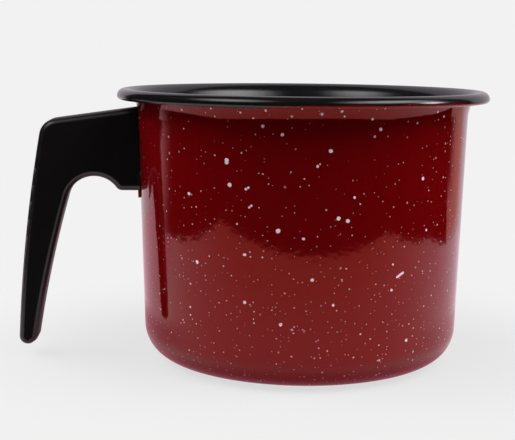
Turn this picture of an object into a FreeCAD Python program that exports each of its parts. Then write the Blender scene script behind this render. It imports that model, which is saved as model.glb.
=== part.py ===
import FreeCAD, Part
import math
import os

# Enamelled milk pot with a moulded side handle, in millimetres.
# The origin is the centre of the base on the table, Z is up and the handle reaches out along -X.

# Pot body, drawn from one sheet
POT_HEIGHT = 116.6  # table to the crest of the rim
MOUTH_RADIUS = 71.4  # outside of the wall, carried up to the height of the rim
WALL_DRAFT = 1.8  # degrees that the wall leans outwards
POT_SHEET = 1.0  # steel with its enamel on both sides
CORNER_BEND = 13.7  # inside radius between base and wall
EASE_BEND = 20.0  # outside radius where the wall starts to flare
EASE_TURN = 22.0  # degrees of that gentle bend
FLARE_BEND = 5.6  # outside radius of the tighter bend above it
FLANGE_WIDTH = 0.2  # straight part between flare and roll
FLANGE_RISE = 20.0  # degrees that the flange climbs outwards
ROLL_RADIUS = 3.1  # outside of the roll over the crest
HEM_RADIUS = 1.4  # outside of the tighter roll at the edge
HEM_TURN = 130.0  # degrees that the edge turns under
RING_WIDTH = 4.8  # flat ring that the pot stands on
PANEL_STEP = 5.0  # slope between the ring and the raised middle of the base
PANEL_RISE = 1.2
PANEL_BEND = 6.0

# Bracket, a strip bent like a hat and welded to the wall
BRACKET_SHEET = 1.0
BRACKET_WIDTH = 11.0
BRACKET_BEND = 1.0  # inside radius of its bends
BRIDGE_HEIGHT = 20.0  # outside of the hat
BRIDGE_DEPTH = 9.0  # room behind the hat for the nut
FOOT_ROOM = 0.3  # end of the upper foot below the start of the flare
FOOT_SHOWING = 3.6  # end of the lower foot below the underside of the root
FOOT_ROUND = 4.0  # corners of the feet
WELD_GAP = 0.1  # enamel between foot and wall

# Handle, one moulding seen from the side
ROOT_DROP = 8.1  # crest of the rim to the top of the root
HANDLE_THICKNESS = 15.5
EDGE_RADIUS = 2.8  # rounding along both sides
ROOT_ABOVE = 19.0  # top of the root above the screw
ROOT_BELOW = 16.7  # underside of the root below the screw
ARM_FALL = 8.1  # degrees that the arm drops outwards
ARM_REACH = 41.3  # wall to the back of the handle at its top
BACK_CORNER = 8.0  # rounding between arm and back
TIP_REACH = 52.5  # wall to the back of the handle at its tip
BACK_BOW = 1.9  # how far the back of the grip bulges
TIP_HEIGHT = 1.6  # lowest corner of the grip before rounding
TIP_SLANT = 35.0  # degrees of the grip's end
TIP_WIDTH = 9.8
TIP_EXTRA_ROUND = 0.8  # added to the edge rounding at the tip
LIP_EXTRA_ROUND = 0.4  # added to the edge rounding at the other sharp corners
ARCH_RADIUS = 11.8  # hollow for the forefinger
ARCH_OUT = 19.2  # wall to the middle of that hollow
ARCH_DROP = 5.7  # middle of that hollow below the root
GRIP_LEAN = 16.0  # degrees of the grip's inner edge where it leaves the hollow
ROOT_GAP = 0.3  # between the root and the wall
SEAT_GAP = 0.1  # between faces that the screw pulls together
SOCKET_GAP = 0.3  # round the strip inside the handle

# Screw, washer and nut
SCREW_RADIUS = 2.5
SCREW_END = 1.5  # screw showing past the nut
SCREW_CLEARANCE = 0.25
THREAD_GAP = 0.06
HEAD_RADIUS = 4.5
HEAD_HEIGHT = 3.2
HEAD_BEVEL = 0.8
SLOT_WIDTH = 1.2
SLOT_DEPTH = 1.5
HEAD_ROOM = 0.6  # round the head in its hole
CLAMPED = 22.0  # handle between strip and washer
WASHER_RADIUS = 4.4
WASHER_THICKNESS = 1.2
WASHER_SPLIT = 0.8
SPLIT_SLANT = 20.0  # degrees
NUT_ACROSS = 8.0
NUT_HEIGHT = 4.0
NUT_CHAMFER = 0.5

ORIGIN = FreeCAD.Vector(0, 0, 0)
OUT = FreeCAD.Vector(1, 0, 0)
ACROSS = FreeCAD.Vector(0, 1, 0)
UP = FreeCAD.Vector(0, 0, 1)
TINY = 1e-6


# Outlines in the upright plane through the axis: radius outwards, height upwards
def at(radius, height):
    return FreeCAD.Vector(radius, 0, height)


def heading(degrees):
    angle = math.radians(degrees)
    return at(math.cos(angle), math.sin(angle))


def left_of(direction):
    return at(-direction.z, direction.x)


def meeting(point, direction, other, other_direction):
    side = left_of(other_direction)
    return point + direction * ((other - point).dot(side) / direction.dot(side))


def line(start, end):
    return Part.LineSegment(start, end).toShape()


def arc(start, middle, end):
    return Part.Arc(start, middle, end).toShape()


def arc_leaving(start, direction, end):
    chord = end - start
    side = left_of(chord).normalize()
    if side.dot(direction) < 0:
        side = side * -1
    bulge = chord.Length / 2 * math.tan(chord.getAngle(direction) / 2)
    return arc(start, start + chord * 0.5 + side * bulge, end)


def bend_path(points, radii):
    edges = []
    start = points[0]
    for before, corner, after, radius in zip(points, points[1:], points[2:], radii):
        back = (before - corner).normalize()
        ahead = (after - corner).normalize()
        half = back.getAngle(ahead) / 2
        first = corner + back * (radius / math.tan(half))
        last = corner + ahead * (radius / math.tan(half))
        middle = corner + (back + ahead).normalize() * (radius / math.sin(half) - radius)
        if (first - start).Length > TINY:
            edges.append(line(start, first))
        edges.append(arc(first, middle, last))
        start = last
    if (points[-1] - start).Length > TINY:
        edges.append(line(start, points[-1]))
    return edges


def left_sides(points):
    return [left_of((b - a).normalize()) for a, b in zip(points, points[1:])]


def shifted_left(points, distance):
    sides = left_sides(points)
    shifted = [points[0] + sides[0] * distance]
    for corner, side, next_side in zip(points[1:], sides, sides[1:]):
        shifted.append(corner + (side + next_side) * (distance / (1 + side.dot(next_side))))
    return shifted + [points[-1] + sides[-1] * distance]


def sheet_sides(points, bends, thickness):
    # The points run along the sheet's right side, and each bend is the radius on its inner side.
    sides = left_sides(points)
    right_radii = []
    left_radii = []
    for side, next_side, bend in zip(sides, sides[1:], bends):
        turns_left = side.cross(next_side).y < 0
        right_radii.append(bend + thickness if turns_left else bend)
        left_radii.append(bend if turns_left else bend + thickness)
    return right_radii, shifted_left(points, thickness), left_radii


def face_within(edges):
    return Part.Face(Part.Wire(Part.__sortEdges__(edges)))


# The wall's outside
WALL_RUN = heading(90 - WALL_DRAFT)
WALL_TOP = at(MOUTH_RADIUS, POT_HEIGHT)


def wall_radius(height, standoff=0.0):
    face = WALL_TOP - left_of(WALL_RUN) * standoff
    return meeting(face, WALL_RUN, at(0, height), OUT).x


# Places along the rim
EASE_RUN = heading(90 - WALL_DRAFT - EASE_TURN)
EASE_TANGENT = EASE_BEND * math.tan(math.radians(EASE_TURN) / 2)
FLANGE_RUN = heading(FLANGE_RISE)
FLANGE_SIDE = left_of(FLANGE_RUN)
FLARE_TANGENT = FLARE_BEND * math.tan(EASE_RUN.getAngle(FLANGE_RUN) / 2)
EASE = EASE_RUN * (EASE_TANGENT + FLARE_TANGENT)
FLANGE = FLANGE_RUN * (FLARE_TANGENT + FLANGE_WIDTH)
ROLL_HOLLOW = ROLL_RADIUS - POT_SHEET
EASE_HEIGHT = POT_HEIGHT - ROLL_RADIUS + (FLANGE_SIDE * ROLL_HOLLOW - FLANGE - EASE).z
EASE_CORNER = at(wall_radius(EASE_HEIGHT), EASE_HEIGHT)
EASE_START = EASE_CORNER - WALL_RUN * EASE_TANGENT
FLARE_CORNER = EASE_CORNER + EASE
FLANGE_END = FLARE_CORNER + FLANGE
ROLL_CENTRE = FLANGE_END - FLANGE_SIDE * ROLL_HOLLOW


def space_within(standoff):
    # What the outside of wall and flare encloses, and as much more as the standoff.
    wall = shifted_left([at(wall_radius(0), 0), EASE_CORNER, FLARE_CORNER, FLANGE_END], -standoff)
    low = at(0, wall[0].z)
    high = at(0, wall[-1].z)
    edges = bend_path(wall, [EASE_BEND - standoff, FLARE_BEND - standoff])
    edges += [line(low, wall[0]), line(wall[-1], high), line(high, low)]
    return face_within(edges).revolve(ORIGIN, UP, 360)


# Places along the handle
ROOT_TOP = POT_HEIGHT - ROOT_DROP
SCREW_HEIGHT = ROOT_TOP - ROOT_ABOVE
ROOT_LOW = SCREW_HEIGHT - ROOT_BELOW
HANDLE_WALL = wall_radius(SCREW_HEIGHT)
HAT_LOW = SCREW_HEIGHT - BRIDGE_HEIGHT / 2
HAT_HIGH = SCREW_HEIGHT + BRIDGE_HEIGHT / 2
HAT_INSIDE = wall_radius(SCREW_HEIGHT, WELD_GAP) + BRIDGE_DEPTH
HAT_FACE = HAT_INSIDE + BRACKET_SHEET
FOOT_FACE = WELD_GAP + BRACKET_SHEET
FOOT_SEAT = FOOT_FACE + SEAT_GAP
NUT_FACE = math.sqrt(HAT_INSIDE ** 2 - (NUT_ACROSS / 2) ** 2) - SEAT_GAP
SOCKET_FLOOR = HAT_FACE + SEAT_GAP
WASHER_SEAT = SOCKET_FLOOR + CLAMPED
HEAD_SEAT = WASHER_SEAT + WASHER_THICKNESS + SEAT_GAP


def to_handle_side(shape):
    turned = shape.copy()
    turned.rotate(ORIGIN, UP, 180)
    return turned


def rod(radius, start, end):
    return Part.makeCylinder(radius, end - start, at(start, SCREW_HEIGHT), OUT)


def lane_box(width, reach, low, high):
    return Part.makeBox(reach, width, high - low, FreeCAD.Vector(0, -width / 2, low))


def pot_body():
    base_edge = wall_radius(0)
    corner_reach = (CORNER_BEND + POT_SHEET) * math.tan(WALL_RUN.getAngle(OUT) / 2)
    ring_inside = base_edge - corner_reach - RING_WIDTH
    outside = [
        at(0, PANEL_RISE),
        at(ring_inside - PANEL_STEP, PANEL_RISE),
        at(ring_inside, 0),
        at(base_edge, 0),
        EASE_CORNER,
        FLARE_CORNER,
        FLANGE_END,
    ]
    bends = [PANEL_BEND, PANEL_BEND, CORNER_BEND, EASE_BEND, FLARE_BEND]
    outside_radii, inside, inside_radii = sheet_sides(outside, bends, POT_SHEET)
    edges = bend_path(outside, outside_radii) + bend_path(inside, inside_radii)
    hem_centre = ROLL_CENTRE + OUT * (ROLL_RADIUS - HEM_RADIUS)
    rolls = [(ROLL_CENTRE, ROLL_RADIUS, 90 + FLANGE_RISE, 0), (hem_centre, HEM_RADIUS, 0, -HEM_TURN)]
    for centre, radius, start, end in rolls:
        for side in (radius, radius - POT_SHEET):
            edges.append(arc(*[centre + heading(turn) * side for turn in (start, (start + end) / 2, end)]))
    rim_edge = heading(-HEM_TURN)
    edges.append(line(hem_centre + rim_edge * (HEM_RADIUS - POT_SHEET), hem_centre + rim_edge * HEM_RADIUS))
    edges.append(line(outside[0], inside[0]))
    return face_within(edges).revolve(ORIGIN, UP, 360)


def handle_bracket():
    foot_low = ROOT_LOW - FOOT_SHOWING
    foot_high = EASE_START.z - FOOT_ROOM
    outer_face = [
        at(wall_radius(foot_low, FOOT_FACE), foot_low),
        at(wall_radius(HAT_LOW, FOOT_FACE), HAT_LOW),
        at(HAT_FACE, HAT_LOW),
        at(HAT_FACE, HAT_HIGH),
        at(wall_radius(HAT_HIGH, FOOT_FACE), HAT_HIGH),
        at(wall_radius(foot_high, FOOT_FACE), foot_high),
    ]
    outer_radii, inner_face, inner_radii = sheet_sides(outer_face, [BRACKET_BEND] * 4, BRACKET_SHEET)
    edges = bend_path(outer_face, outer_radii) + bend_path(inner_face, inner_radii)
    ends = [line(outer_face[0], inner_face[0]), line(outer_face[-1], inner_face[-1])]
    strip = face_within(edges + ends)
    strip.rotate(ORIGIN, UP, -90)
    strip = strip.revolve(ORIGIN, UP, 180)
    lane = lane_box(BRACKET_WIDTH, HAT_FACE, foot_low, foot_high)
    lane = lane.makeFillet(FOOT_ROUND, [e for e in lane.Edges if abs(e.Length - HAT_FACE) < TINY])
    hole = rod(SCREW_RADIUS + SCREW_CLEARANCE, 0, HAT_FACE)
    return to_handle_side(strip.common(lane).cut(hole))


def handle_outline():
    arm_run = heading(-ARM_FALL)
    root = at(wall_radius(ROOT_TOP), ROOT_TOP)
    inside_wall = HANDLE_WALL - HANDLE_THICKNESS
    root_end = meeting(root, arm_run, at(inside_wall, 0), UP)
    back_top = meeting(root, arm_run, at(HANDLE_WALL + ARM_REACH, 0), UP)
    back_tip = at(HANDLE_WALL + TIP_REACH, TIP_HEIGHT)
    back = back_tip - back_top
    back_middle = back_top + back * 0.5 + left_of(back).normalize() * BACK_BOW
    inner_tip = back_tip - heading(-TIP_SLANT) * TIP_WIDTH
    arch_centre = at(HANDLE_WALL + ARCH_OUT, ROOT_LOW - ARCH_DROP)
    grip_start = arch_centre + heading(GRIP_LEAN) * ARCH_RADIUS
    lip = arch_centre + at(-math.sqrt(ARCH_RADIUS ** 2 - ARCH_DROP ** 2), ARCH_DROP)
    outline = [
        line(at(inside_wall, ROOT_LOW), lip),
        arc(lip, arch_centre + UP * ARCH_RADIUS, grip_start),
        arc_leaving(grip_start, heading(GRIP_LEAN - 90), inner_tip),
        line(inner_tip, back_tip),
        arc(back_tip, back_middle, back_top),
        line(back_top, root_end),
        line(root_end, at(inside_wall, ROOT_LOW)),
    ]
    lip_round = EDGE_RADIUS + LIP_EXTRA_ROUND
    tip_round = EDGE_RADIUS + TIP_EXTRA_ROUND
    rounds = [(lip, lip_round), (inner_tip, lip_round), (back_tip, tip_round), (back_top, BACK_CORNER)]
    return Part.Face(Part.Wire(outline)), rounds


def handle():
    face, rounds = handle_outline()
    half = ACROSS * (HANDLE_THICKNESS / 2)
    face.translate(half * -1)
    body = face.extrude(half * 2)
    for corner, radius in rounds:
        edges = [e for e in body.Edges if e.distToShape(Part.Vertex(corner))[0] < TINY]
        body = body.makeFillet(radius, edges)
    rims = [e for e in body.Edges if abs(abs(e.CenterOfMass.y) - HANDLE_THICKNESS / 2) < TINY]
    body = body.makeFillet(EDGE_RADIUS, rims)
    slot_width = BRACKET_WIDTH + 2 * SOCKET_GAP
    socket_low = HAT_LOW - SOCKET_GAP
    socket_high = HAT_HIGH + SOCKET_GAP
    socket = lane_box(slot_width, SOCKET_FLOOR, socket_low, socket_high)
    mouth_depth = wall_radius(socket_high, FOOT_SEAT) + BRACKET_BEND
    mouth = lane_box(slot_width, mouth_depth, socket_low - BRACKET_BEND, socket_high + BRACKET_BEND)
    foot_groove = space_within(FOOT_SEAT).common(lane_box(slot_width, SOCKET_FLOOR, 0, POT_HEIGHT))
    bore = rod(SCREW_RADIUS + SCREW_CLEARANCE, 0, WASHER_SEAT)
    head_hole = rod(max(HEAD_RADIUS, WASHER_RADIUS) + HEAD_ROOM, WASHER_SEAT, HANDLE_WALL + TIP_REACH)
    return to_handle_side(body.cut([space_within(ROOT_GAP), foot_groove, socket, mouth, bore, head_hole]))


def handle_screw():
    shank = rod(SCREW_RADIUS, NUT_FACE - NUT_HEIGHT - SCREW_END, HEAD_SEAT)
    head_top = HEAD_SEAT + HEAD_HEIGHT
    head = rod(HEAD_RADIUS, HEAD_SEAT, head_top)
    crown = [e for e in head.Edges if abs(e.CenterOfMass.x - head_top) < TINY]
    head = head.makeChamfer(HEAD_BEVEL, crown)
    slot = Part.makeBox(SLOT_DEPTH, SLOT_WIDTH, 2 * HEAD_RADIUS)
    slot.translate(at(head_top - SLOT_DEPTH, SCREW_HEIGHT - HEAD_RADIUS) - ACROSS * (SLOT_WIDTH / 2))
    return to_handle_side(shank.fuse(head).removeSplitter().cut(slot))


def lock_washer():
    washer_face = WASHER_SEAT + WASHER_THICKNESS
    ring = rod(WASHER_RADIUS, WASHER_SEAT, washer_face)
    hole = rod(SCREW_RADIUS + SCREW_CLEARANCE, WASHER_SEAT, washer_face)
    split = Part.makeBox(2 * WASHER_RADIUS, WASHER_SPLIT, WASHER_RADIUS)
    split.translate(FreeCAD.Vector(-WASHER_RADIUS, -WASHER_SPLIT / 2, 0))
    split.rotate(ORIGIN, UP, SPLIT_SLANT)
    split.translate(at((WASHER_SEAT + washer_face) / 2, SCREW_HEIGHT))
    return to_handle_side(ring.cut([hole, split]))


def bracket_nut():
    inner_face = NUT_FACE - NUT_HEIGHT
    corner = FreeCAD.Vector(inner_face, -NUT_ACROSS / 2, SCREW_HEIGHT - NUT_ACROSS / 2)
    block = Part.makeBox(NUT_HEIGHT, NUT_ACROSS, NUT_ACROSS, corner)
    corners = [e for e in block.Edges if abs(e.Length - NUT_HEIGHT) < TINY]
    block = block.makeChamfer(NUT_CHAMFER, corners)
    thread = rod(SCREW_RADIUS + THREAD_GAP, inner_face, NUT_FACE)
    return to_handle_side(block.cut(thread))


os.makedirs("parts", exist_ok=True)
for piece in (pot_body, handle_bracket, bracket_nut, handle, handle_screw, lock_washer):
    piece().exportStep("parts/" + piece.__name__ + ".step")
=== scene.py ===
import math

import bmesh
import bpy
from mathutils import Matrix, Vector


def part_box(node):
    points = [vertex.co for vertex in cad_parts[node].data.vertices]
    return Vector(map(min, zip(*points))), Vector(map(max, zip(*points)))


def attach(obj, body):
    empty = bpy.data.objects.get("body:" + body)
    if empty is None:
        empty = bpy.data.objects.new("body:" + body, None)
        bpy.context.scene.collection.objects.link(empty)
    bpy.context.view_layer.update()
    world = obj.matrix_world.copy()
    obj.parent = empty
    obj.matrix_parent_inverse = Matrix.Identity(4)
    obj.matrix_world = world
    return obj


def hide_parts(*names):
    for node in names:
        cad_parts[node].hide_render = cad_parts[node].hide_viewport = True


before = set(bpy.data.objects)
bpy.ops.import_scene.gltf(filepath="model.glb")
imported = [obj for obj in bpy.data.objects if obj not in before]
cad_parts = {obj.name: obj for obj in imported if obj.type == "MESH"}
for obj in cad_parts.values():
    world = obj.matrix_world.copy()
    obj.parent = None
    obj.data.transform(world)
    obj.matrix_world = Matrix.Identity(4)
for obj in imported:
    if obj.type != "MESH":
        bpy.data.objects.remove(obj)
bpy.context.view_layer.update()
POT_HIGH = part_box("pot_body")[1]
SCREW_LOW, SCREW_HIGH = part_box("handle_screw")
HANDLE_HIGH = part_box("handle")[1]

bl_info = {
    "name": "Enamelled Milk Pot",
    "version": (1, 0, 0),
    "blender": (4, 5, 0),
    "location": "View3D > Sidebar > Milk Pot",
    "description": "Makes a speckled enamel milk pot with a moulded handle, and a small studio for it",
    "category": "Object",
}

MM = 0.001
BODY = "root"
FASTENINGS = (
    ("handle_screw", "slotted_screw"),
    ("lock_washer", "split_washer"),
    ("bracket_nut", "square_nut"),
)

# Meshes
RIM_RUN = "past_hem"  # attribute: how far a point lies past the edge of the rim, along the section
ARC_STEP = math.radians(4.0)
WALL_STEP = 12 * MM
MERGE_GAP = 0.001 * MM
SHARP_EDGE = math.radians(28.0)

# The Mix node's colour sockets by number, because their names repeat
MIX_FACTOR, MIX_FIRST, MIX_SECOND, MIX_RESULT = 0, 6, 7, 2
NOISE_MIDDLE = 0.5

# Large specks: degrees round from the front, height and radius in millimetres
LARGE_SPECKS = (
    (-29, 90.6, 0.85), (-29, 91.5, 0.85), (4, 96, 0.85), (-17, 105, 0.7), (-11, 102, 0.7),
    (-28, 82, 0.85), (-22.5, 80.7, 0.5), (-21.7, 81.2, 0.5), (-21.4, 73.7, 0.5), (-20.7, 74.3, 0.5),
    (-12, 65, 0.95), (7, 70, 0.85), (10, 69, 0.85), (38, 84, 0.75), (20, 104, 0.7),
    (12, 78, 0.6), (0, 90, 0.6), (-44, 77, 0.7), (28.6, 45.5, 0.55), (29.1, 45.8, 0.6),
    (29.6, 46.1, 0.6), (30.1, 46.4, 0.6), (30.6, 46.7, 0.6), (31.1, 47, 0.55), (-1, 46, 0.7),
    (-23, 55, 0.7), (-41, 50, 0.75), (-23, 36, 0.75), (-11, 28, 0.75), (6, 36, 0.6),
    (34, 19, 0.7), (41, 63, 0.6), (-4, 62, 0.6), (-46, 110, 0.5), (-34, 111, 0.5),
    (-33, 108, 0.45), (-24, 110, 0.5), (-20, 108, 0.45), (-16, 111, 0.5), (-8, 109, 0.5),
    (-5, 112, 0.45), (1, 110, 0.65), (7, 111, 0.5), (8, 109, 0.45), (17, 108, 0.6),
    (18, 112, 0.45), (43, 110, 0.5), (47, 108, 0.5),
)
SPECK_DRUM = 70 * MM  # radius on which the large specks are placed

# Small specks: cell of the pattern, largest radius, share of the cells at the rim, growth to the base
MEDIUM_SPECKS = (4.4 * MM, 0.52 * MM, 0.4, 0.27)
FINE_SPECKS = (1.7 * MM, 0.35 * MM, 0.28, 0.5)
FINE_STRENGTH = 0.8
FAINTEST_SPECK = 0.15
SPECK_GROWTH = (-0.05, 0.25)  # how far a draw lies under the share, for no speck and for a full one
SPECK_SOFTNESS = 0.12 * MM
SPECK_WAVES = 1.6 * MM
SPECK_SHIFT = 0.7 * MM

# Enamel. Gloss is the Specular IOR Level, blotches and dulling are added to the roughness.
GLOSS_IOR = 1.5
SWELL_LENGTH = 16 * MM
RIPPLE_LENGTH = 3.2 * MM
RIPPLE_SHARE = 2.2
ENAMEL_RELIEF = 0.012 * MM
ENAMEL_GLOSS = 1.0
ENAMEL_CLOUD = 24 * MM
ENAMEL_DEEP = 0.9
ENAMEL_BLOTCHES = 0.03
BRACKET_GLOSS = 0.3
BRACKET_CLOUD = 6 * MM
BRACKET_LIGHT = 1.4
BRACKET_BLOTCHES = 0.2
BLACK_GLOSS = 0.5
BLACK_LIGHT = 2.0
BLACK_BLOTCHES = 0.04
BLACK_DULLING = 0.06
DULLING_RUN = (8 * MM, 18 * MM)  # from the rim down into the pot

# Edge of the black coat: how far past the edge of the rim, and where across the pot it lies further
EDGE_RUN = 1.1 * MM
EDGE_WAVES = 9 * MM
EDGE_WAVER = 1.2 * MM
EDGE_CLIMB = 2.2 * MM
CLIMB_LEFT = (-36 * MM, -1 * MM)
CLIMB_RIGHT = (57 * MM, 73 * MM)
EDGE_BLUR = 0.1 * MM

# Handle
HANDLE_GLOSS = 0.015
HANDLE_CLOUD = 18 * MM
HANDLE_LIGHT = 1.25
HANDLE_BLOTCHES = 0.08
HANDLE_GRAIN = 0.35 * MM
CLOUD_RELIEF = 2.0
HANDLE_RELIEF = 0.006 * MM
SCUFF_LENGTH = 3.5 * MM
SCUFF_NOISE = (0.56, 0.75)
SCUFF_LIGHT = 1.7
SCUFF_SHARE = 0.6
SCUFF_DULLING = 0.07
POLISH_INNER = (2.4 * MM, 1.2 * MM)  # in from the side faces, where the polish starts
POLISH_OUTER = (0.16 * MM, 0.02 * MM)  # and where it ends
POLISH_ROUGHNESS = 0.3

# Fastenings
STAIN_LENGTH = 2.2 * MM
STAIN_COLOUR = (0.66, 0.63, 0.54)
STAIN_BLOTCHES = 0.2
RING_PITCH = 0.22 * MM
ZINC_RELIEF = 0.004 * MM

# Stage, in metres: corners to the right of the axis and behind it
FLOOR = -0.2 * MM
SHEET_STEPS = 12
SHEET_RIGHT_SIDE = ((345 * MM, 20 * MM), (300 * MM, 140 * MM))
SHEET_LEFT_SIDE = ((-355 * MM, 79 * MM), (-326 * MM, -60 * MM))
SHEET_BACK_RIGHT = 250 * MM
BOARD_RIGHT = 620 * MM
BOARD_TOP = 0.75
TABLE_LEFT = -1.0
TABLE_FRONT = 40 * MM
TABLE_CORNER = (-348 * MM, 26 * MM)
ROOM_HALF = 1.6
ROOM_LOW = -0.5
ROOM_HIGH = 1.9

# Stage, as the gloss shows it: where one tint gives way to the next
DARK = 0.02
LEFT_TO_RIGHT = (-220 * MM, 220 * MM)
NEAR_TO_BEHIND = (-20 * MM, 50 * MM)
NEAR_TO_FRONT = (-120 * MM, -240 * MM)
# Painted shadow and painted red bounce light on the sheet close to the pot, seen only in the gloss: where it
# gives way to the other tints
CONTACT_SHADE_END = (63 * MM, 76 * MM)
# Weaker painted shade with painted red bounce light beside and behind the pot, seen only in the gloss: its
# strength, its loss towards the right, its reach and where it starts
SIDE_SHADE = 0.89
SIDE_SHADE_LOSS = 0.58  # towards the right
SIDE_SHADE_REACH = (150 * MM, 110 * MM)
SIDE_SHADE_START = (-80 * MM, -10 * MM)
BOARD_TO_WARM = (250 * MM, 350 * MM)
WARM_TO_DARK = (430 * MM, 610 * MM)
FOOT_TO_HIGH = (80 * MM, 105 * MM)
TABLE_TO_BRIGHT = (0.1, 0.4)  # backwards over sideways

# Floor, as the camera sees it: the flat share close to the pot, and where the floor turns all flat
SHADOW_FLAT = 0.76
SHADOW_END = (70 * MM, 200 * MM)

# Name, degrees round from the front and up, distance, width and depth in metres, watts
LAMPS = (
    ("left_softbox", -52, 54, 1.1, 0.9, 0.7, 7.2),
    ("right_softbox", 64, 52, 1.1, 0.8, 0.7, 11.4),
    ("left_fill", -108, 32, 1.0, 1.0, 0.5, 9.5),
    ("right_fill", 112, 16, 1.0, 1.0, 0.5, 8.2),
)
CARDS = (
    ("left_card", -50, 44, 1.1, 1.1, 0.9, 14.5),
    ("right_card", 60, 40, 1.1, 1.6, 0.9, 29.0),
    ("low_card", 82, 19, 1.0, 0.45, 0.4, 10.0),
)
CARD_MIDDLE = (0.5, 0.5, 0.0)
CARD_HALF = 0.5
SENSOR_WIDTH = 36.0
NEAR_CLIP = 10 * MM


# Fields of the sidebar
def size(name, description, millimetres):
    return bpy.props.FloatProperty(
        name=name,
        description=description,
        default=millimetres * MM,
        subtype="DISTANCE",
        unit="LENGTH",
        precision=4,
    )


def turn(name, description, degrees):
    return bpy.props.FloatProperty(
        name=name,
        description=description,
        default=math.radians(degrees),
        subtype="ANGLE",
        unit="ROTATION",
    )


def amount(name, description, default):
    return bpy.props.FloatProperty(name=name, description=description, default=default, min=0.0)


def colour(name, description, default):
    return bpy.props.FloatVectorProperty(
        name=name,
        description=description,
        default=default,
        subtype="COLOR",
        size=3,
        min=0.0,
        max=1.0,
    )


class MILKPOT_PG_body(bpy.types.PropertyGroup):
    """Section of the drawn steel body."""

    height: size("Height", "Table to the crest of the rim", POT_HIGH.z / MM)
    rim_radius: size("Rim Radius", "Axis to the outermost edge of the rim", POT_HIGH.x / MM)
    sheet: size("Sheet", "Steel with its enamel on both sides", 1.0)
    draft: turn("Draft", "How far the wall leans outwards", 1.8)
    corner_bend: size("Corner Bend", "Inside radius between base and wall", 13.7)
    ease_bend: size("Ease Bend", "Outside radius where the wall starts to flare", 20.0)
    ease_turn: turn("Ease Turn", "How far that gentle bend turns", 22.0)
    flare_bend: size("Flare Bend", "Outside radius of the tighter bend above it", 5.6)
    flange_width: size("Flange Width", "Straight part between flare and roll", 0.2)
    flange_rise: turn("Flange Rise", "How far the flange climbs outwards", 20.0)
    roll_radius: size("Roll Radius", "Outside of the roll over the crest", 3.1)
    hem_radius: size("Hem Radius", "Outside of the tighter roll at the edge", 1.4)
    hem_turn: turn("Hem Turn", "How far the edge turns under", 130.0)
    ring_width: size("Ring Width", "Flat ring that the pot stands on", 4.8)
    panel_step: size("Panel Step", "Slope between the ring and the middle of the base", 5.0)
    panel_rise: size("Panel Rise", "Height of the middle of the base", 1.2)
    panel_bend: size("Panel Bend", "Inside radius of the bends in the base", 6.0)
    steps_around: bpy.props.IntProperty(
        name="Steps Around", description="Faces round the pot", default=256, min=3
    )


class MILKPOT_PG_finish(bpy.types.PropertyGroup):
    """Colours and gloss of the pieces."""

    red: colour("Red Enamel", "Ground coat outside", (0.145, 0.0008, 0.002))
    red_shine: colour("Red Shine", "Tint of the gloss on the red", (1.0, 0.19, 0.175))
    black: colour("Black Enamel", "Coat inside and over the rim", (0.004, 0.004, 0.0045))
    speck: colour("Specks", "Spattered coat", (0.90, 0.70, 0.76))
    enamel_roughness: amount("Enamel Roughness", "Roughness of the fired glass", 0.05)
    black_roughness: amount("Black Roughness", "Roughness of the black coat", 0.13)
    handle: colour("Handle", "Moulded phenolic", (0.0062, 0.0054, 0.0057))
    bracket_roughness: amount("Bracket Roughness", "Roughness of the thin coat on the bracket", 0.3)
    handle_roughness: amount("Handle Roughness", "Roughness of the moulded skin", 0.33)
    edge_polish: amount("Edge Polish", "Gloss that hands have left on the handle's edges", 0.95)
    zinc: colour("Zinc", "Plated fastenings", (0.62, 0.62, 0.6))
    zinc_roughness: amount("Zinc Roughness", "Roughness of the plating", 0.3)


class MILKPOT_PG_studio(bpy.types.PropertyGroup):
    """Camera, white sheet and board."""

    handle_turn: turn("Handle Turn", "How far the handle is turned towards the camera", 5.0)
    camera_distance: size("Camera Distance", "Axis to camera, level", 526.66)
    camera_height: size("Camera Height", "Table to camera", 135.99)
    camera_yaw: turn("Camera Yaw", "Aim to the left of the axis", 2.0615)
    camera_pitch: turn("Camera Pitch", "Aim below the horizon", 8.3142)
    camera_roll: turn("Camera Roll", "Turn about the line of sight", 0.5615)
    lens: bpy.props.FloatProperty(name="Lens", description="Focal length", default=84.47, unit="CAMERA")
    sheet_left: size("Sheet Left", "Axis to the front left corner of the sheet, forwards", 247.0)
    sheet_right: size("Sheet Right", "Axis to the front right corner of the sheet, forwards", 198.0)
    sheet_half: size("Sheet Half Width", "Axis to the front corners, sideways", 308.0)
    sheet_bow: size("Sheet Bow", "How far its front edge bulges", 76.0)
    sheet_back: size("Sheet Back", "Axis to the board behind the sheet", 310.0)
    board_half: size("Board Half Width", "Axis to either side of the board", 390.0)
    paper: amount("Paper", "Brightness of the white sheet and the background", 0.887)
    paper_lit: amount("Lit Paper", "How much of the lamps' light the sheet returns", 0.5)
    # Painted shadow and painted red bounce light on the sheet close to the pot, seen only in the gloss
    paper_contact_shade: colour("Paper Contact Shade", "Sheet close to the pot, as the gloss shows it", (0.55, 0.2, 0.26))
    paper_near: colour("Near Paper", "Sheet round the front of the pot, in the gloss", (1.0, 0.98, 1.0))
    paper_front: colour("Front Paper", "Front of the sheet, in the gloss", (0.94, 0.79, 0.66))
    paper_left: colour("Left Paper", "Sheet behind the pot on the left, in the gloss", (0.95, 0.63, 0.74))
    paper_right: colour("Right Paper", "Sheet behind the pot on the right, in the gloss", (1.0, 0.83, 0.95))
    board: colour("Board", "Board behind the sheet", (0.85, 0.74, 0.82))
    board_warm: colour("Warm Board", "Foot of the board on the right", (0.8, 0.42, 0.38))
    board_high: colour("High Board", "Board above the rim", (0.65, 0.59, 0.64))


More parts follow.
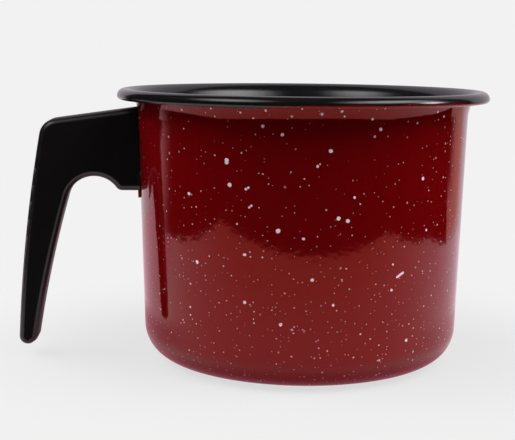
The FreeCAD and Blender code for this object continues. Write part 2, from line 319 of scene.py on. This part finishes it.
# Node trees
class Value:
    """One output of a node. Arithmetic on it adds Math nodes to its tree."""

    def __init__(self, sheet, socket):
        self.sheet = sheet
        self.socket = socket

    def output(self, name):
        return Value(self.sheet, self.socket.node.outputs[name])

    def math(self, operation, *terms):
        return self.sheet.node("ShaderNodeMath", {"operation": operation}, dict(enumerate(terms)))

    def __add__(self, other):
        return self.math("ADD", self, other)

    def __sub__(self, other):
        return self.math("SUBTRACT", self, other)

    def __rsub__(self, other):
        return self.math("SUBTRACT", other, self)

    def __mul__(self, other):
        return self.math("MULTIPLY", self, other)

    def __truediv__(self, other):
        return self.math("DIVIDE", self, other)

    def __pow__(self, power):
        return self.math("POWER", self, power)

    def __abs__(self):
        return self.math("ABSOLUTE", self)

    def larger(self, other):
        return self.math("MAXIMUM", self, other)

    def smaller(self, other):
        return self.math("MINIMUM", self, other)

    __radd__ = __add__
    __rmul__ = __mul__


class NodeSheet:
    """A node tree, and short ways to fill it."""

    def __init__(self, tree):
        self.tree = tree

    def node(self, kind, settings=None, inputs=None):
        made = self.tree.nodes.new(kind)
        for name, value in (settings or {}).items():
            setattr(made, name, value)
        for name, value in (inputs or {}).items():
            if isinstance(value, Value):
                self.tree.links.new(value.socket, made.inputs[name])
            else:
                made.inputs[name].default_value = value
        return Value(self, made.outputs[0]) if made.outputs else None

    def vector(self, operation, *terms):
        return self.node("ShaderNodeVectorMath", {"operation": operation}, dict(enumerate(terms)))

    def place(self):
        """Where a point lies in its object."""
        return self.node("ShaderNodeTexCoord").output("Object")

    def split(self, place):
        return self.node("ShaderNodeSeparateXYZ", None, {"Vector": place})

    def mix(self, factor, first, second):
        inputs = {MIX_FACTOR: factor, MIX_FIRST: first, MIX_SECOND: second}
        return self.node("ShaderNodeMix", {"data_type": "RGBA"}, inputs).output(MIX_RESULT)

    def blend(self, factor, first, second):
        return self.node("ShaderNodeMixShader", None, {0: factor, 1: first, 2: second})

    def ramp(self, value, low, high):
        """0 at low and beyond, 1 at high and beyond, and smooth between them."""
        settings = {"interpolation_type": "SMOOTHSTEP"}
        return self.node("ShaderNodeMapRange", settings, {"Value": value, "From Min": low, "From Max": high})

    def noise(self, place, length, detail=2.0, roughness=0.5):
        """Noise whose patches are about as long as given."""
        inputs = {"Vector": place, "Scale": 1 / length, "Detail": detail, "Roughness": roughness}
        return self.node("ShaderNodeTexNoise", {"noise_dimensions": "3D"}, inputs)

    def shifted(self, place, offset, reach):
        """The place moved by up to half the reach, the way a colour says."""
        centred = self.vector("SUBTRACT", offset, [NOISE_MIDDLE] * 3)
        return self.vector("MULTIPLY_ADD", centred, [reach] * 3, place)

    def bump(self, height, distance):
        return self.node("ShaderNodeBump", None, {"Height": height, "Distance": distance, "Strength": 1.0})


def rgba(values, factor=1.0):
    return (*(factor * value for value in values), 1.0)


def grey(level):
    return (level, level, level, 1.0)


def new_material(name):
    material = bpy.data.materials.new(name)
    material.use_nodes = True
    material.node_tree.nodes.clear()
    return material, NodeSheet(material.node_tree)


def show(sheet, surface):
    sheet.node("ShaderNodeOutputMaterial", {"target": "ALL"}, {"Surface": surface})


# Finishes
def speck_layer(sheet, place, lowness, cell, radius, share, growth):
    """Round specks, none wider than the radius, in a share of the cells that grows towards the base."""
    settings = {"voronoi_dimensions": "3D", "feature": "F1"}
    seeds = sheet.node("ShaderNodeTexVoronoi", settings, {"Vector": place, "Scale": 1 / cell})
    draw = sheet.node("ShaderNodeSeparateColor", None, {"Color": seeds.output("Color")})
    reach = radius * sheet.ramp(share + growth * lowness - draw, *SPECK_GROWTH)
    strength = FAINTEST_SPECK + (1 - FAINTEST_SPECK) * draw.output("Green") ** 2
    return strength * sheet.ramp(reach - seeds * cell, 0.0, SPECK_SOFTNESS)


def large_specks(sheet, place):
    """Specks at chosen places of the front half, and mirrored on the back half."""
    part = sheet.split(place)
    forwards = 0.0 - abs(part.output("Y"))
    level = sheet.node("ShaderNodeCombineXYZ", None, {"X": part.output("X"), "Y": forwards})
    lift = sheet.node("ShaderNodeCombineXYZ", None, {"Z": part.output("Z")})
    on_drum = sheet.vector("MULTIPLY_ADD", sheet.vector("NORMALIZE", level), [SPECK_DRUM] * 3, lift)
    cover = -1.0
    for degrees, height, radius in LARGE_SPECKS:
        angle = math.radians(degrees)
        spot = (SPECK_DRUM * math.sin(angle), -SPECK_DRUM * math.cos(angle), height * MM)
        gap = sheet.vector("DISTANCE", on_drum, spot).output("Value")
        cover = (radius * MM - gap).larger(cover)
    return sheet.ramp(cover, 0.0, SPECK_SOFTNESS)


def enamel_specks(sheet, place):
    lowness = 1 - sheet.split(place).output("Z") / POT_HIGH.z
    wobble = sheet.noise(place, SPECK_WAVES).output("Color")
    rough_place = sheet.shifted(place, wobble, SPECK_SHIFT)
    medium = speck_layer(sheet, rough_place, lowness, *MEDIUM_SPECKS)
    fine = speck_layer(sheet, rough_place, lowness, *FINE_SPECKS)
    return large_specks(sheet, rough_place).larger(medium).larger(fine * FINE_STRENGTH)


def enamel_relief(sheet, place):
    """Normals of fired glass, which is never quite flat."""
    swell = sheet.noise(place, SWELL_LENGTH, detail=1.0)
    ripple = sheet.noise(place, RIPPLE_LENGTH)
    return sheet.bump(swell + ripple * RIPPLE_SHARE, ENAMEL_RELIEF)


def bracket_material(finish):
    """Thin, dull coat of the same red."""
    material, sheet = new_material("bracket_enamel")
    place = sheet.place()
    cloud = sheet.noise(place, BRACKET_CLOUD, detail=3.0)
    surface = sheet.node("ShaderNodeBsdfPrincipled", None, {
        "Base Color": sheet.mix(cloud, rgba(finish.red), rgba(finish.red, BRACKET_LIGHT)),
        "Roughness": finish.bracket_roughness + BRACKET_BLOTCHES * cloud,
        "IOR": GLOSS_IOR,
        "Specular IOR Level": BRACKET_GLOSS,
        "Specular Tint": rgba(finish.red_shine),
        "Normal": enamel_relief(sheet, place),
    })
    show(sheet, surface)
    return material


def black_share(sheet, place, run):
    """0 on the red coat and 1 on the black one, with an uneven edge near the hem."""
    across = sheet.split(place).output("X")
    waver = (sheet.noise(place, EDGE_WAVES, detail=3.0) - NOISE_MIDDLE) * EDGE_WAVER
    climb = sheet.ramp(across, *CLIMB_LEFT) - sheet.ramp(across, *CLIMB_RIGHT)
    edge = waver + EDGE_RUN + EDGE_CLIMB * climb
    return sheet.ramp(run - edge, -EDGE_BLUR, EDGE_BLUR)


def enamel_material(finish):
    """Speckled red outside, black inside and over the rim."""
    material, sheet = new_material("speckled_enamel")
    place = sheet.place()
    relief = enamel_relief(sheet, place)
    specks = enamel_specks(sheet, place)
    cloud = sheet.noise(place, ENAMEL_CLOUD, detail=3.0)
    ground = sheet.mix(cloud, rgba(finish.red, ENAMEL_DEEP), rgba(finish.red))
    red = sheet.node("ShaderNodeBsdfPrincipled", None, {
        "Base Color": sheet.mix(specks, ground, rgba(finish.speck)),
        "Roughness": finish.enamel_roughness + ENAMEL_BLOTCHES * cloud,
        "IOR": GLOSS_IOR,
        "Specular IOR Level": ENAMEL_GLOSS,
        "Specular Tint": rgba(finish.red_shine),
        "Normal": relief,
    })
    run = sheet.node("ShaderNodeAttribute", {"attribute_name": RIM_RUN}).output("Fac")
    dulling = BLACK_DULLING * sheet.ramp(run, *DULLING_RUN)
    black = sheet.node("ShaderNodeBsdfPrincipled", None, {
        "Base Color": sheet.mix(cloud, rgba(finish.black), rgba(finish.black, BLACK_LIGHT)),
        "Roughness": finish.black_roughness + dulling + BLACK_BLOTCHES * cloud,
        "IOR": GLOSS_IOR,
        "Specular IOR Level": BLACK_GLOSS,
        "Normal": relief,
    })
    show(sheet, sheet.blend(black_share(sheet, place, run), red, black))
    return material


def handle_material(finish):
    """Matt moulded skin, polished along its edges and a little scuffed."""
    material, sheet = new_material("moulded_black")
    place = sheet.place()
    cloud = sheet.noise(place, HANDLE_CLOUD, detail=4.0, roughness=0.6)
    grain = sheet.noise(place, HANDLE_GRAIN)
    scuffs = sheet.ramp(sheet.noise(place, SCUFF_LENGTH, detail=6.0, roughness=0.7), *SCUFF_NOISE)
    inset = HANDLE_HIGH.y - abs(sheet.split(place).output("Y"))
    polished = sheet.ramp(inset, *POLISH_INNER) - sheet.ramp(inset, *POLISH_OUTER)
    shade = sheet.mix(cloud, rgba(finish.handle), rgba(finish.handle, HANDLE_LIGHT))
    blotches = HANDLE_BLOTCHES * (cloud - NOISE_MIDDLE)
    surface = sheet.node("ShaderNodeBsdfPrincipled", None, {
        "Base Color": sheet.mix(scuffs * SCUFF_SHARE, shade, rgba(finish.handle, SCUFF_LIGHT)),
        "Roughness": finish.handle_roughness + blotches + SCUFF_DULLING * scuffs,
        "IOR": GLOSS_IOR,
        "Specular IOR Level": HANDLE_GLOSS,
        "Coat Weight": finish.edge_polish * polished,
        "Coat Roughness": POLISH_ROUGHNESS,
        "Coat IOR": GLOSS_IOR,
        "Normal": sheet.bump(grain + CLOUD_RELIEF * cloud, HANDLE_RELIEF),
    })
    show(sheet, surface)
    return material


def zinc_material(finish):
    """Stained plating with turning marks round the screw's axis."""
    material, sheet = new_material("zinc_plate")
    place = sheet.place()
    axis_height = (SCREW_LOW.z + SCREW_HIGH.z) / 2
    part = sheet.split(place)
    rise = part.output("Z") - axis_height
    phase = (part.output("Y") ** 2 + rise ** 2) ** 0.5 * (2 * math.pi / RING_PITCH)
    rings = phase.math("SINE", phase)
    stain = sheet.noise(place, STAIN_LENGTH, detail=4.0, roughness=0.6)
    surface = sheet.node("ShaderNodeBsdfPrincipled", None, {
        "Base Color": sheet.mix(stain, rgba(finish.zinc), rgba(STAIN_COLOUR)),
        "Metallic": 1.0,
        "Roughness": finish.zinc_roughness + STAIN_BLOTCHES * (stain - NOISE_MIDDLE),
        "Normal": sheet.bump(rings + stain, ZINC_RELIEF),
    })
    show(sheet, surface)
    return material


# Section of the body: radius outwards, height upwards
def heading(angle):
    return Vector((math.cos(angle), math.sin(angle)))


def left_of(run):
    return Vector((-run.y, run.x))


def arc(centre, radius, start, sweep):
    steps = math.ceil(abs(sweep) / ARC_STEP)
    return [centre + heading(start + sweep * i / steps) * radius for i in range(steps + 1)]


def straight(start, end):
    """Points between the two ends, without them."""
    steps = math.ceil((end - start).length / WALL_STEP)
    return [start.lerp(end, i / steps) for i in range(1, steps)]


def rounded(corners, radii):
    path = [corners[0]]
    for before, corner, after, radius in zip(corners, corners[1:], corners[2:], radii):
        back = (before - corner).normalized()
        ahead = (after - corner).normalized()
        half = back.angle(ahead) / 2
        centre = corner + (back + ahead).normalized() * (radius / math.sin(half))
        first = corner + back * (radius / math.tan(half)) - centre
        last = corner + ahead * (radius / math.tan(half)) - centre
        sweep = math.atan2(first.x * last.y - first.y * last.x, first.dot(last))
        bend = arc(centre, radius, math.atan2(first.y, first.x), sweep)
        path += straight(path[-1], bend[0]) + bend
    return path + straight(path[-1], corners[-1]) + [corners[-1]]


def other_side(corners, bends, sheet):
    """Radii on the right side of a bent sheet, then corners and radii on its left side."""
    runs = [(b - a).normalized() for a, b in zip(corners, corners[1:])]
    sides = [left_of(run) for run in runs]
    left = [corners[0] + sides[0] * sheet]
    right_radii = []
    left_radii = []
    for corner, run, side, next_side, bend in zip(corners[1:], runs, sides, sides[1:], bends):
        left.append(corner + (side + next_side) * (sheet / (1 + side.dot(next_side))))
        turns_left = next_side.dot(run) < 0
        right_radii.append(bend + sheet if turns_left else bend)
        left_radii.append(bend if turns_left else bend + sheet)
    left.append(corners[-1] + sides[-1] * sheet)
    return right_radii, left, left_radii


def body_section(body):
    """Outline of the sheet from the axis below to the axis above, and how many points lie before the hem."""
    flange_run = heading(body.flange_rise)
    wall_run = heading(math.pi / 2 - body.draft)
    hollow = body.roll_radius - body.sheet
    roll_centre = Vector((body.rim_radius - body.roll_radius, body.height - body.roll_radius))
    flange_end = roll_centre + left_of(flange_run) * hollow
    ease_run = heading(math.pi / 2 - body.draft - body.ease_turn)
    ease_tangent = body.ease_bend * math.tan(body.ease_turn / 2)
    flare_tangent = body.flare_bend * math.tan(ease_run.angle(flange_run) / 2)
    flare_corner = flange_end - flange_run * (flare_tangent + body.flange_width)
    ease_corner = flare_corner - ease_run * (flare_tangent + ease_tangent)
    base_edge = ease_corner - wall_run * (ease_corner.y / wall_run.y)
    corner_reach = (body.corner_bend + body.sheet) * math.tan(wall_run.angle(Vector((1, 0))) / 2)
    ring_inside = base_edge.x - corner_reach - body.ring_width
    outside = [
        Vector((0.0, body.panel_rise)),
        Vector((ring_inside - body.panel_step, body.panel_rise)),
        Vector((ring_inside, 0.0)),
        base_edge,
        ease_corner,
        flare_corner,
        flange_end,
    ]
    bends = [body.panel_bend, body.panel_bend, body.corner_bend, body.ease_bend, body.flare_bend]
    outside_radii, inside, inside_radii = other_side(outside, bends, body.sheet)
    path = rounded(outside, outside_radii)
    hem_centre = roll_centre + Vector((body.roll_radius - body.hem_radius, 0.0))
    roll_turn = math.pi / 2 + body.flange_rise
    lip = heading(-body.hem_turn)
    lip_centre = hem_centre + lip * (body.hem_radius - body.sheet / 2)
    path += arc(roll_centre, hollow, roll_turn, -roll_turn)
    path += arc(hem_centre, body.hem_radius - body.sheet, 0.0, -body.hem_turn)
    path += arc(lip_centre, body.sheet / 2, math.pi - body.hem_turn, math.pi)
    before_hem = len(path)
    path += arc(hem_centre, body.hem_radius, -body.hem_turn, body.hem_turn)
    path += arc(roll_centre, body.roll_radius, 0.0, roll_turn)
    path += rounded(inside, inside_radii)[::-1]
    return path, before_hem


def section_mesh(body):
    points, before_hem = body_section(body)
    runs = [0.0]
    for before, point in zip(points, points[1:]):
        runs.append(runs[-1] + (point - before).length)
    mesh = bpy.data.meshes.new("pot_section")
    places = [(point.x, point.y, 0.0) for point in points]
    mesh.from_pydata(places, [(i, i + 1) for i in range(len(points) - 1)], [])
    attribute = mesh.attributes.new(RIM_RUN, "FLOAT", "POINT")
    attribute.data.foreach_set("value", [run - runs[before_hem] for run in runs])
    return mesh


def turning_tree():
    """Turns a section about the Z axis. The section holds radius as X and height as Y."""
    tree = bpy.data.node_groups.new("turn_section", "GeometryNodeTree")
    inputs = {
        "Section": "NodeSocketGeometry",
        "Turning Radius": "NodeSocketFloat",
        "Steps Around": "NodeSocketInt",
        "Merge Gap": "NodeSocketFloat",
        "Finish": "NodeSocketMaterial",
    }
    for name, kind in inputs.items():
        tree.interface.new_socket(name, in_out="INPUT", socket_type=kind)
    tree.interface.new_socket("Body", in_out="OUTPUT", socket_type="NodeSocketGeometry")
    sheet = NodeSheet(tree)
    given = sheet.node("NodeGroupInput")
    radius = given.output("Turning Radius")
    inset = sheet.node("ShaderNodeCombineXYZ", None, {"X": 0.0 - radius})
    curve = sheet.node("GeometryNodeMeshToCurve", None, {"Mesh": given.output("Section")})
    profile = sheet.node("GeometryNodeTransform", None, {
        "Geometry": curve,
        "Translation": inset,
        "Scale": (1.0, -1.0, 1.0),
    })
    circle = sheet.node("GeometryNodeCurvePrimitiveCircle", {"mode": "RADIUS"}, {
        "Resolution": given.output("Steps Around"),
        "Radius": radius,
    })
    upright = sheet.node("GeometryNodeSetCurveNormal", {"mode": "Z_UP"}, {"Curve": circle})
    turned = sheet.node("GeometryNodeCurveToMesh", None, {"Curve": upright, "Profile Curve": profile})
    closed = sheet.node("GeometryNodeMergeByDistance", None, {
        "Geometry": turned,
        "Distance": given.output("Merge Gap"),
    })
    smooth = sheet.node("GeometryNodeSetShadeSmooth", None, {"Geometry": closed})
    real = sheet.node("GeometryNodeRealizeInstances", None, {"Geometry": smooth})
    painted = sheet.node("GeometryNodeSetMaterial", None, {
        "Geometry": real,
        "Material": given.output("Finish"),
    })
    sheet.node("NodeGroupOutput", None, {"Body": painted})
    return tree


# Pieces
def new_piece(name, mesh):
    piece = bpy.data.objects.new(name, mesh)
    bpy.context.scene.collection.objects.link(piece)
    return piece


def settle(piece):
    """Turns the piece's modifiers into plain mesh."""
    depsgraph = bpy.context.evaluated_depsgraph_get()
    evaluated = piece.evaluated_get(depsgraph)
    mesh = bpy.data.meshes.new_from_object(evaluated, preserve_all_data_layers=True, depsgraph=depsgraph)
    piece.modifiers.clear()
    piece.data = mesh
    mesh.name = piece.name


def even_normals(piece):
    """Lets the large faces set the shading, so that flats stay flat beside their rounded edges."""
    weighting = piece.modifiers.new("weighted_normals", "WEIGHTED_NORMAL")
    weighting.mode = "FACE_AREA"
    weighting.keep_sharp = True
    settle(piece)


def point_outwards(mesh):
    shell = bmesh.new()
    shell.from_mesh(mesh)
    bmesh.ops.recalc_face_normals(shell, faces=shell.faces)
    shell.to_mesh(mesh)
    shell.free()


def make_body(body, finish):
    piece = new_piece("enamel_pot", section_mesh(body))
    tree = turning_tree()
    modifier = piece.modifiers.new("turn_section", "NODES")
    modifier.node_group = tree
    settings = {
        "Turning Radius": body.rim_radius,
        "Steps Around": body.steps_around,
        "Merge Gap": MERGE_GAP,
        "Finish": enamel_material(finish),
    }
    for item in tree.interface.items_tree:
        if item.name in settings:
            modifier[item.identifier] = settings[item.name]
    settle(piece)
    point_outwards(piece.data)
    even_normals(piece)
    return piece


def smooth_copy(node, name, material):
    """A merged copy of a node's mesh, smooth but for its sharp edges."""
    shell = bmesh.new()
    shell.from_mesh(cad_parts[node].data)
    bmesh.ops.remove_doubles(shell, verts=shell.verts, dist=MERGE_GAP)
    shell.verts.index_update()
    mesh = bpy.data.meshes.new(name)
    corners = [[vertex.index for vertex in face.verts] for face in shell.faces]
    mesh.from_pydata([vertex.co for vertex in shell.verts], [], corners)
    shell.free()
    mesh.shade_smooth()
    mesh.set_sharp_from_angle(angle=SHARP_EDGE)
    mesh.materials.append(material)
    piece = new_piece(name, mesh)
    even_normals(piece)
    return piece


def stand_for(piece, node):
    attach(piece, BODY)
    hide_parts(node)


# Studio
def seen_directly(sheet, in_camera=1.0):
    """How much of a flat colour is seen: the given share by the camera, all of it in gloss and glass."""
    rays = sheet.node("ShaderNodeLightPath")
    mirrored = (rays.output("Is Glossy Ray") + rays.output("Is Transmission Ray")).smaller(1.0)
    return (rays.output("Is Camera Ray") * in_camera + mirrored).smaller(1.0)


def show_flat(sheet, share, flat, lit):
    """Shows a flat colour by the given share, and for the rest a lit one."""
    matt = sheet.node("ShaderNodeBsdfDiffuse", None, {"Color": lit})
    glow = sheet.node("ShaderNodeEmission", None, {"Color": flat, "Strength": 1.0})
    show(sheet, sheet.blend(share, matt, glow))


def paper_material(studio):
    """White paper that stays as bright as the background, but keeps the shadow round the pot. In the gloss it
    shows a painted shadow with painted red bounce light close to the pot, and a weaker painted shade beside
    it.
    """
    material, sheet = new_material("white_paper")
    place = sheet.place()
    part = sheet.split(place)
    backwards = part.output("Y")
    distance = sheet.vector("LENGTH", place).output("Value")
    rightness = sheet.ramp(part.output("X"), *LEFT_TO_RIGHT)
    # Painted shadow and painted red bounce light on the sheet close to the pot, for the gloss only
    painted_contact_shade = rgba(studio.paper_contact_shade)
    tint = sheet.mix(rightness, rgba(studio.paper_left), rgba(studio.paper_right))
    tint = sheet.mix(sheet.ramp(backwards, *NEAR_TO_BEHIND), rgba(studio.paper_near), tint)
    tint = sheet.mix(sheet.ramp(backwards, *NEAR_TO_FRONT), tint, rgba(studio.paper_front))
    # Painted shade beside and behind the pot, weaker towards the right, for the gloss only
    side_shade_mask = sheet.ramp(distance, *SIDE_SHADE_REACH) * sheet.ramp(backwards, *SIDE_SHADE_START)
    tint = sheet.mix(side_shade_mask * (SIDE_SHADE - SIDE_SHADE_LOSS * rightness), tint, painted_contact_shade)
    tint = sheet.mix(sheet.ramp(distance, *CONTACT_SHADE_END), painted_contact_shade, tint)
    from_camera = sheet.node("ShaderNodeLightPath").output("Is Camera Ray")
    flat = sheet.mix(from_camera, tint, grey(studio.paper))
    in_camera = SHADOW_FLAT + (1 - SHADOW_FLAT) * sheet.ramp(distance, *SHADOW_END)
    show_flat(sheet, seen_directly(sheet, in_camera), flat, grey(studio.paper_lit))
    return material


def board_material(studio):
    """Pale board behind the sheet, warm at its right foot and dim beyond."""
    material, sheet = new_material("warm_board")
    part = sheet.split(sheet.place())
    across = part.output("X")
    foot = sheet.mix(sheet.ramp(across, *BOARD_TO_WARM), rgba(studio.board), rgba(studio.board_warm))
    foot = sheet.mix(sheet.ramp(across, *WARM_TO_DARK), foot, grey(DARK))
    shade = sheet.mix(sheet.ramp(part.output("Z"), *FOOT_TO_HIGH), foot, rgba(studio.board_high))
    show_flat(sheet, seen_directly(sheet), shade, shade)
    return material


def table_material(studio):
    """Table to the left of the sheet, brighter towards the back."""
    material, sheet = new_material("side_table")
    part = sheet.split(sheet.place())
    lean = part.output("Y") / abs(part.output("X"))
    shade = sheet.mix(sheet.ramp(lean, *TABLE_TO_BRIGHT), grey(DARK), rgba(studio.board))
    show(sheet, sheet.node("ShaderNodeEmission", None, {"Color": shade, "Strength": seen_directly(sheet)}))
    return material


def cloth_material():
    material, sheet = new_material("dark_cloth")
    show(sheet, sheet.node("ShaderNodeBsdfDiffuse", None, {"Color": grey(DARK)}))
    return material


def stage_mesh(name, points, faces, material, turned, seen):
    mesh = bpy.data.meshes.new(name)
    mesh.from_pydata(points, [], faces)
    mesh.materials.append(material)
    thing = new_piece(name, mesh)
    thing.rotation_euler.z = turned
    thing.visible_camera = seen
    return thing


def make_paper(studio, turned):
    """The sheet that the pot stands on, with a bowed front edge."""
    left = Vector((-studio.sheet_half, -studio.sheet_left, FLOOR))
    right = Vector((studio.sheet_half, -studio.sheet_right, FLOOR))
    floor = []
    for i in range(SHEET_STEPS + 1):
        along = i / SHEET_STEPS
        bulge = 4 * along * (1 - along)  # 0 at both corners and 1 in the middle
        floor.append(left.lerp(right, along) - Vector((0.0, bulge * studio.sheet_bow, 0.0)))
    back_edge = ((SHEET_BACK_RIGHT, studio.sheet_back), (-studio.board_half, studio.sheet_back))
    floor += [(x, y, FLOOR) for x, y in (*SHEET_RIGHT_SIDE, *back_edge, *SHEET_LEFT_SIDE)]
    stage_mesh("paper_floor", floor, [tuple(range(len(floor)))], paper_material(studio), turned, True)


def make_board(studio, turned):
    """The board behind the sheet, with its foot that lies beside the sheet on the right."""
    half = studio.board_half
    back = studio.sheet_back
    points = [
        (SHEET_BACK_RIGHT, back, FLOOR),
        (*SHEET_RIGHT_SIDE[-1], FLOOR),
        (BOARD_RIGHT, back, FLOOR),
        (-half, back, FLOOR),
        (BOARD_RIGHT, back, BOARD_TOP),
        (-half, back, BOARD_TOP),
    ]
    faces = [(0, 1, 2), (3, 2, 4, 5)]
    board = stage_mesh("warm_board", points, faces, board_material(studio), turned, False)
    board.visible_diffuse = False


def make_table(studio, turned):
    """The table that shows to the left of the sheet."""
    back = studio.sheet_back
    corners = ((-studio.board_half, back), (TABLE_LEFT, back), (TABLE_LEFT, TABLE_FRONT), TABLE_CORNER)
    points = [(x, y, FLOOR) for x, y in corners]
    table = stage_mesh("side_table", points, [(0, 1, 2, 3)], table_material(studio), turned, False)
    table.visible_diffuse = False


def make_room(turned):
    """A dark box round everything, which the camera doesn't see."""
    ground = ((-1, -1), (1, -1), (1, 1), (-1, 1))
    points = [(x * ROOM_HALF, y * ROOM_HALF, z) for z in (ROOM_LOW, ROOM_HIGH) for x, y in ground]
    faces = [(0, 1, 2, 3), (4, 5, 6, 7), (0, 1, 5, 4), (1, 2, 6, 5), (2, 3, 7, 6), (3, 0, 4, 7)]
    stage_mesh("dark_room", points, faces, cloth_material(), turned, False)


def fade_out(data):
    """Lets a card fade from its middle to its edges. Parametric counts from 0 to 1 across it."""
    data.use_nodes = True
    data.node_tree.nodes.clear()
    sheet = NodeSheet(data.node_tree)
    place = sheet.node("ShaderNodeNewGeometry").output("Parametric")
    off_middle = sheet.vector("DISTANCE", place, CARD_MIDDLE).output("Value")
    glow = sheet.node("ShaderNodeEmission", None, {"Strength": sheet.ramp(off_middle, CARD_HALF, 0.0)})
    sheet.node("ShaderNodeOutputLight", None, {"Surface": glow})


def make_lamp(name, azimuth, elevation, distance, width, depth, power, turned):
    """An area lamp that faces the middle of the pot. Its angles are in degrees."""
    data = bpy.data.lights.new(name, "AREA")
    data.shape = "RECTANGLE"
    data.size = width
    data.size_y = depth
    data.energy = power
    lamp = bpy.data.objects.new(name, data)
    bpy.context.scene.collection.objects.link(lamp)
    around = math.radians(azimuth)
    up = math.radians(elevation)
    level = math.cos(up) * distance
    spot = Vector((math.sin(around) * level, -math.cos(around) * level, math.sin(up) * distance))
    spot = Matrix.Rotation(turned, 3, "Z") @ spot
    aim = Vector((0.0, 0.0, POT_HIGH.z / 2))
    lamp.location = aim + spot
    lamp.rotation_euler = (-spot).to_track_quat("-Z", "Y").to_euler()
    lamp.visible_camera = False
    return lamp


def make_lamps(turned):
    """Lamps light the pot, and soft cards stand for them in its gloss."""
    for values in LAMPS:
        lamp = make_lamp(*values, turned)
        lamp.visible_glossy = False
    for values in CARDS:
        card = make_lamp(*values, turned)
        card.visible_diffuse = False
        fade_out(card.data)


def make_world(studio):
    world = bpy.data.worlds.new("pale_studio")
    world.use_nodes = True
    world.node_tree.nodes.clear()
    sheet = NodeSheet(world.node_tree)
    inputs = {"Color": grey(studio.paper), "Strength": seen_directly(sheet)}
    pale = sheet.node("ShaderNodeBackground", None, inputs)
    sheet.node("ShaderNodeOutputWorld", None, {"Surface": pale})
    bpy.context.scene.world = world


def make_camera(studio, turned):
    data = bpy.data.cameras.new("camera")
    data.lens = studio.lens
    data.sensor_width = SENSOR_WIDTH
    data.sensor_fit = "HORIZONTAL"
    data.clip_start = NEAR_CLIP
    camera = bpy.data.objects.new("camera", data)
    bpy.context.scene.collection.objects.link(camera)
    camera.matrix_world = (
        Matrix.Rotation(turned, 4, "Z")
        @ Matrix.Translation((0.0, -studio.camera_distance, studio.camera_height))
        @ Matrix.Rotation(studio.camera_yaw, 4, "Z")
        @ Matrix.Rotation(math.pi / 2 - studio.camera_pitch, 4, "X")
        @ Matrix.Rotation(studio.camera_roll, 4, "Z")
    )
    bpy.context.scene.camera = camera


# Operators
class MILKPOT_OT_body(bpy.types.Operator):
    """Turn the enamelled body from its section"""

    bl_idname = "milk_pot.body"
    bl_label = "Enamelled Body"

    def execute(self, context):
        piece = make_body(context.scene.milk_pot_body, context.scene.milk_pot_finish)
        stand_for(piece, "pot_body")
        return {"FINISHED"}


class MILKPOT_OT_bracket(bpy.types.Operator):
    """Finish the bracket that is welded to the wall"""

    bl_idname = "milk_pot.bracket"
    bl_label = "Bracket"

    def execute(self, context):
        material = bracket_material(context.scene.milk_pot_finish)
        stand_for(smooth_copy("handle_bracket", "welded_bracket", material), "handle_bracket")
        return {"FINISHED"}


class MILKPOT_OT_handle(bpy.types.Operator):
    """Finish the moulded handle"""

    bl_idname = "milk_pot.handle"
    bl_label = "Handle"

    def execute(self, context):
        material = handle_material(context.scene.milk_pot_finish)
        stand_for(smooth_copy("handle", "moulded_handle", material), "handle")
        return {"FINISHED"}


class MILKPOT_OT_fastenings(bpy.types.Operator):
    """Finish the screw, its washer and its nut"""

    bl_idname = "milk_pot.fastenings"
    bl_label = "Screw, Washer and Nut"

    def execute(self, context):
        material = zinc_material(context.scene.milk_pot_finish)
        for node, name in FASTENINGS:
            stand_for(smooth_copy(node, name, material), node)
        return {"FINISHED"}


class MILKPOT_OT_studio(bpy.types.Operator):
    """Set up the paper, the lamps and the camera"""

    bl_idname = "milk_pot.studio"
    bl_label = "Studio"

    def execute(self, context):
        studio = context.scene.milk_pot_studio
        turned = -studio.handle_turn
        make_paper(studio, turned)
        make_board(studio, turned)
        make_table(studio, turned)
        make_room(turned)
        make_lamps(turned)
        make_world(studio)
        make_camera(studio, turned)
        context.scene.view_settings.view_transform = "Standard"
        return {"FINISHED"}


OPERATORS = (MILKPOT_OT_body, MILKPOT_OT_bracket, MILKPOT_OT_handle, MILKPOT_OT_fastenings, MILKPOT_OT_studio)
GROUPS = {
    "milk_pot_body": MILKPOT_PG_body,
    "milk_pot_finish": MILKPOT_PG_finish,
    "milk_pot_studio": MILKPOT_PG_studio,
}


class MILKPOT_PT_sidebar(bpy.types.Panel):
    """Pieces of the milk pot and their sizes"""

    bl_idname = "MILKPOT_PT_sidebar"
    bl_label = "Milk Pot"
    bl_space_type = "VIEW_3D"
    bl_region_type = "UI"
    bl_category = "Milk Pot"

    def draw(self, context):
        for operator in OPERATORS:
            self.layout.operator(operator.bl_idname)
        for field, group in GROUPS.items():
            box = self.layout.box()
            for name in group.__annotations__:
                box.prop(getattr(context.scene, field), name)


def register():
    for item in (*GROUPS.values(), *OPERATORS, MILKPOT_PT_sidebar):
        bpy.utils.register_class(item)
    for field, group in GROUPS.items():
        setattr(bpy.types.Scene, field, bpy.props.PointerProperty(type=group))


def unregister():
    for field in GROUPS:
        delattr(bpy.types.Scene, field)
    for item in (MILKPOT_PT_sidebar, *OPERATORS, *GROUPS.values()):
        bpy.utils.unregister_class(item)


def main():
    register()
    bpy.ops.milk_pot.body()
    bpy.ops.milk_pot.bracket()
    bpy.ops.milk_pot.handle()
    bpy.ops.milk_pot.fastenings()
    bpy.ops.milk_pot.studio()


if __name__ == "__main__":
    main()
